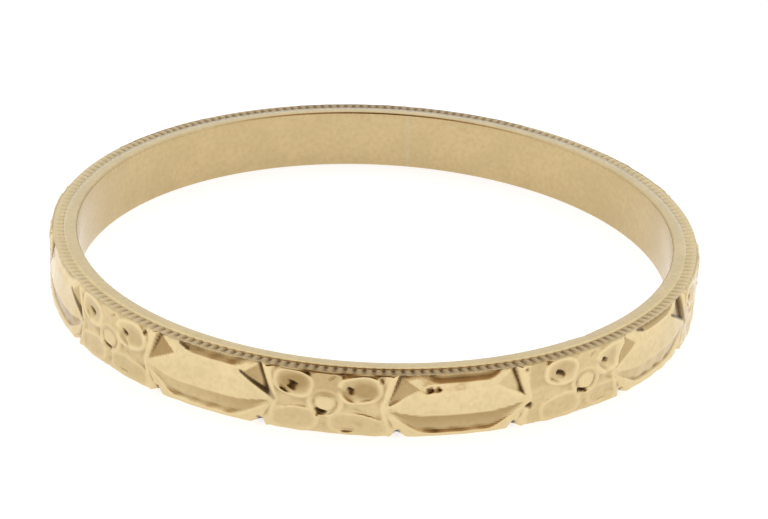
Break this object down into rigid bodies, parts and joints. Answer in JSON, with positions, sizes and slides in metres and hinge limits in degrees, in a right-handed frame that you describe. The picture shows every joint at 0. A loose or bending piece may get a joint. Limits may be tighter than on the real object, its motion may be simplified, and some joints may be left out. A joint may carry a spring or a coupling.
{
  "type": "wedding band",
  "caption": "Narrow die-struck ring for a finger, patterned outside with four-petal blossoms and boat-shaped panels between beaded edges, smooth inside.",
  "frame": {"origin": "middle of the finger hole, at half the width of the band", "axes": "+Z along the axis of the finger hole, so the ring lies flat; -Y through the middle of one blossom; +Y through the solder joint"},
  "size_m": [0.0184, 0.0184, 0.0018],
  "materials": {
    "yellow_gold": "polished",
    "gold_solder": "polished"
  },
  "bodies": {
    "root": {"patterned_band": "yellow_gold", "solder_seam": "gold_solder"}
  },
  "joints": []
}
